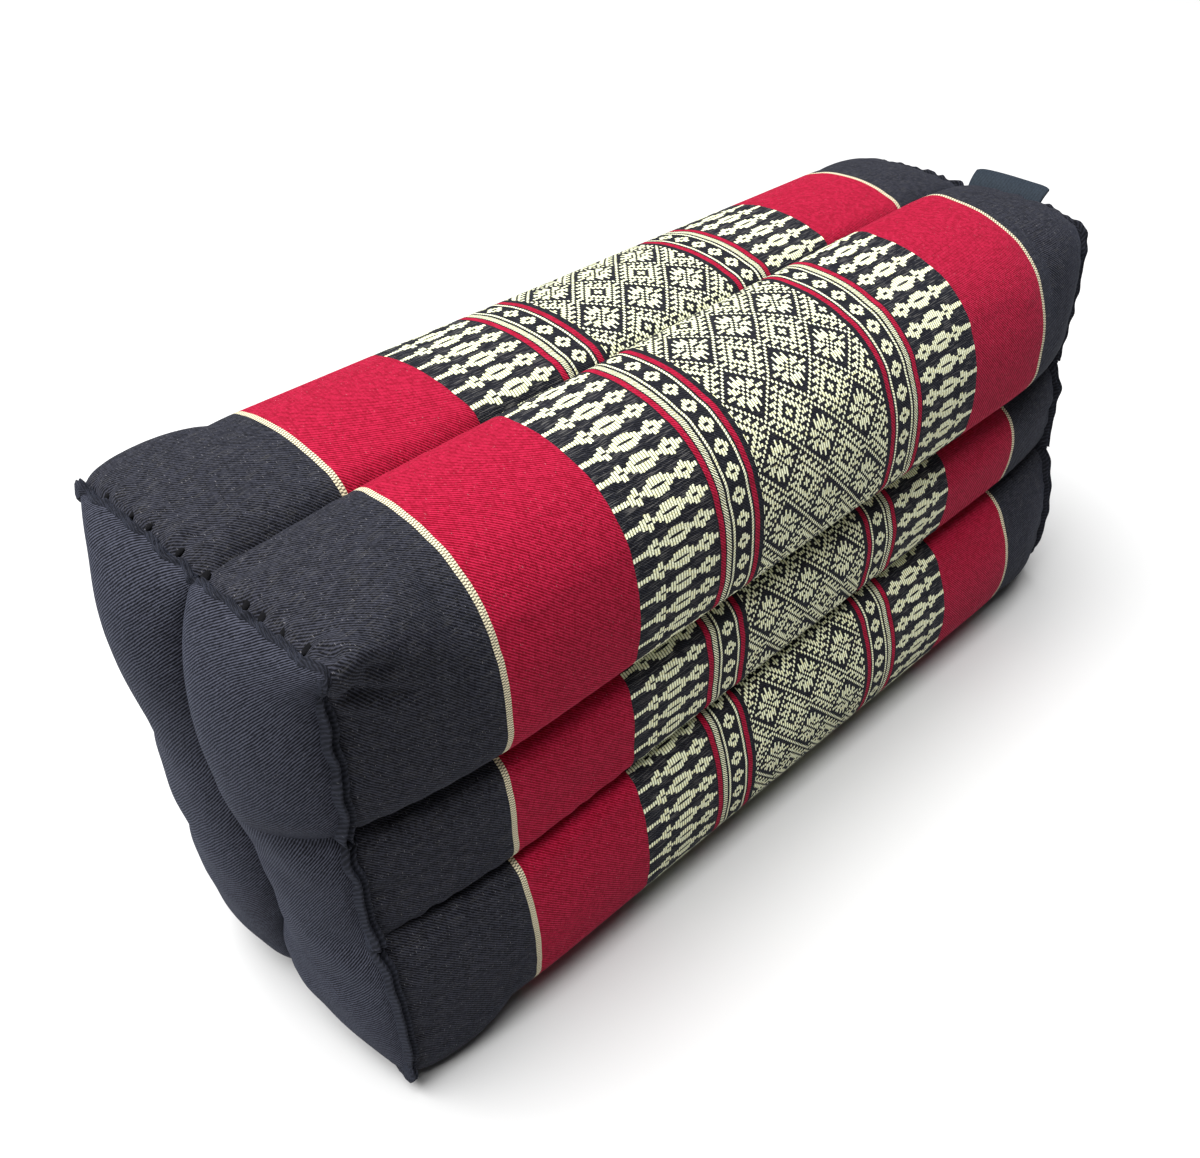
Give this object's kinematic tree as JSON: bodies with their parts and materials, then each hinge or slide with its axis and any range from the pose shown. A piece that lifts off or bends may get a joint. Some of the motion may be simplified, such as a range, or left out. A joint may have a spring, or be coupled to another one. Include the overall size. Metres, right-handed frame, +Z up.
{
  "type": "block-shaped meditation cushion",
  "caption": "Block-shaped meditation cushion: a firmly stuffed cotton block with lengthwise sewn channels, crowned ends, a woven pattern band and a blank end tab.",
  "frame": {"origin": "under the middle of the cushion, on the surface that it stands on", "axes": "+X along the cushion towards the end with the tab, +Z up, +Y to the left seen from the other end"},
  "size_m": [0.3866, 0.1443, 0.176],
  "materials": {
    "patterned_cotton": "hand-loomed cotton in bands of black twill, crimson and cream-on-black traditional lozenge weave, matt, filled firmly",
    "black_cotton": "black cotton twill with a visible fine rib, matt, slightly linty",
    "tab_ribbon": "dark woven ribbon, folded, soft sheen, blank"
  },
  "bodies": {
    "root": {"cushion_body": "patterned_cotton", "end_panel_near": "black_cotton", "end_panel_far": "black_cotton", "label": "tab_ribbon"}
  },
  "joints": []
}
